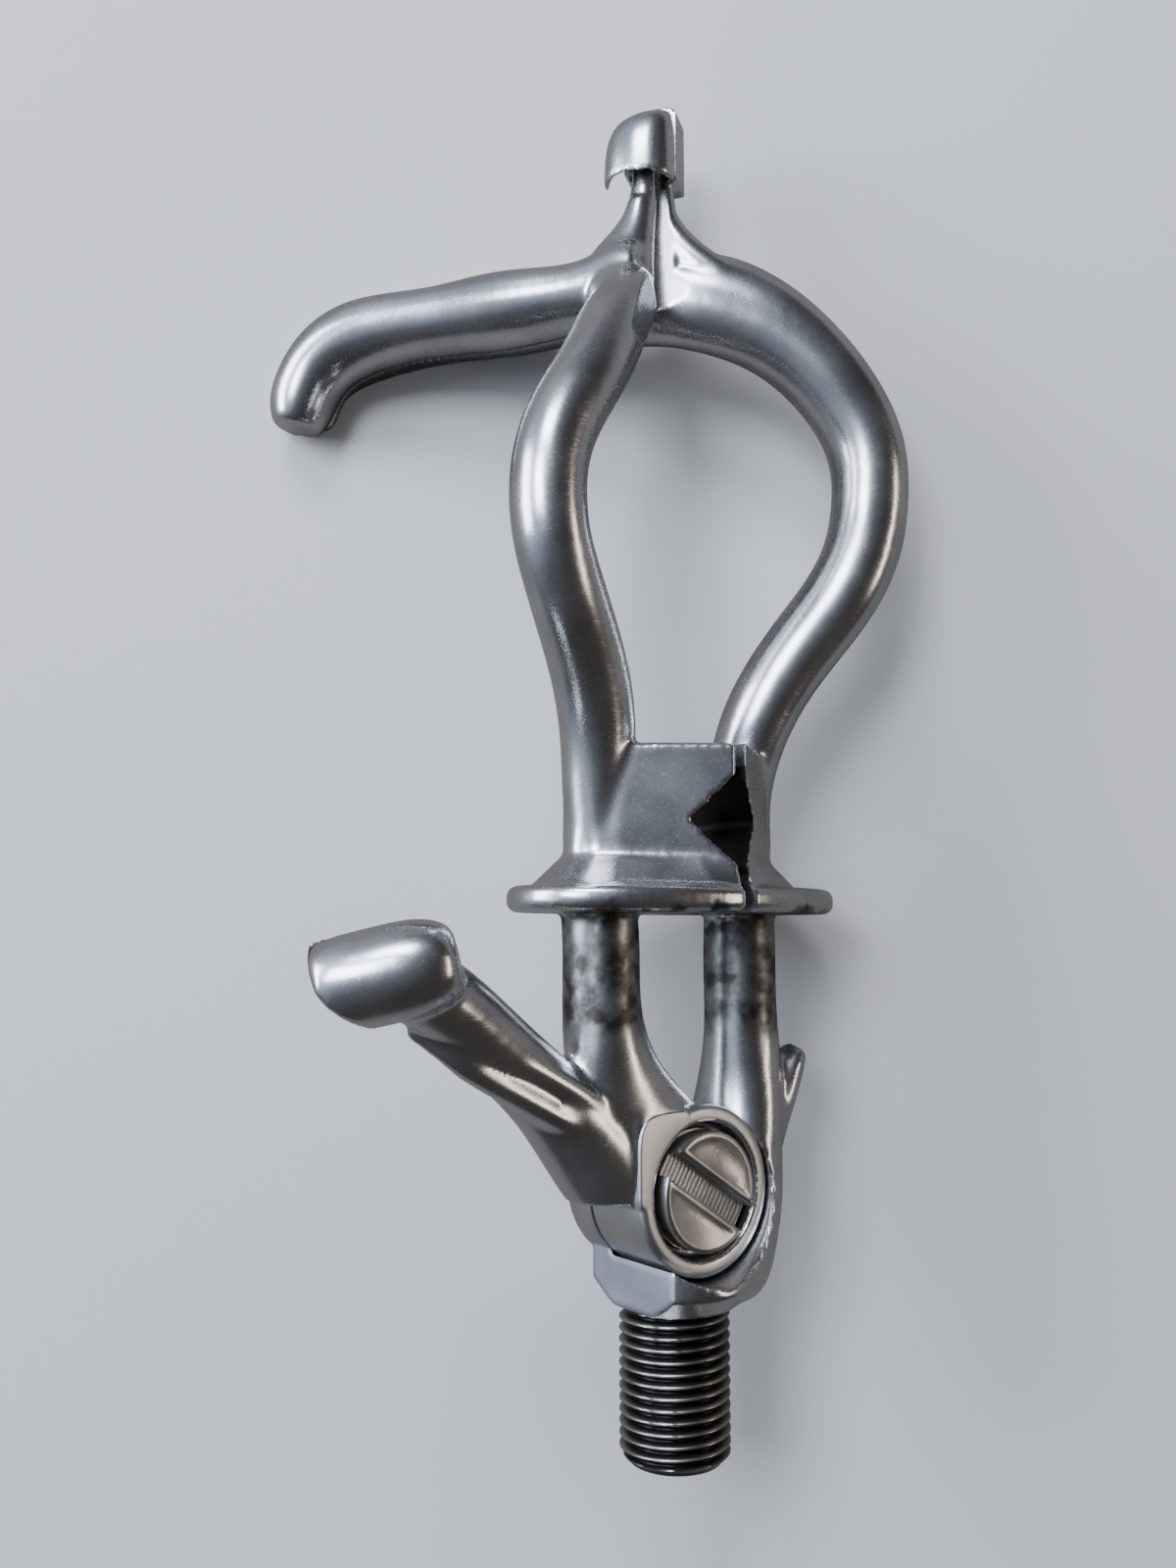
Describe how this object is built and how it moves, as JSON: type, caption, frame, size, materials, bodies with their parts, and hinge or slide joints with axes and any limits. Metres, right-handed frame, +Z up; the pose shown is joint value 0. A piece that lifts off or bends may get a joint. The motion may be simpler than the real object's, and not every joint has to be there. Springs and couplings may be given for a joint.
{
  "type": "split hook terminal device",
  "caption": "Split hook terminal device with a fixed and a pivoting cast finger, tool loop, notched tool plates, oval band flange, cable thumb and threaded mounting stud.",
  "frame": {"origin": "centre of the collar's shoulder face, where the threaded stud starts", "axes": "+Z up the stud axis toward the claws; the finger pivot is parallel to Y with the screw head on -Y; +X from the movable finger toward the fixed finger"},
  "size_m": [0.0727, 0.0623, 0.1614],
  "materials": {
    "cast_steel": "polished cast stainless steel with fine wear scratches",
    "thread_steel": "machined thread, dark in the roots",
    "screw_steel": "satin stainless steel",
    "bearing_steel": "ground bearing steel",
    "cage_steel": "pressed sheet steel"
  },
  "bodies": {
    "fixed_body": {"fixed_finger": "cast_steel", "threaded_stud": "thread_steel", "pivot_screw": "screw_steel", "bearing_inner_race": "bearing_steel", "pivot_spacer": "bearing_steel", "bearing_cage": "cage_steel", "bearing_ball_1": "bearing_steel", "bearing_ball_2": "bearing_steel", "bearing_ball_3": "bearing_steel", "bearing_ball_4": "bearing_steel", "bearing_ball_5": "bearing_steel", "bearing_ball_6": "bearing_steel", "bearing_ball_7": "bearing_steel", "bearing_ball_8": "bearing_steel"},
    "movable_body": {"movable_finger": "cast_steel", "bearing_outer_race": "bearing_steel"}
  },
  "joints": [
    {"name": "finger_pivot", "type": "hinge", "parent": "fixed_body", "child": "movable_body", "pos_m": [0, 0, 0.0133], "axis": [0, -1, 0], "range_deg": [0, 36]}
  ]
}
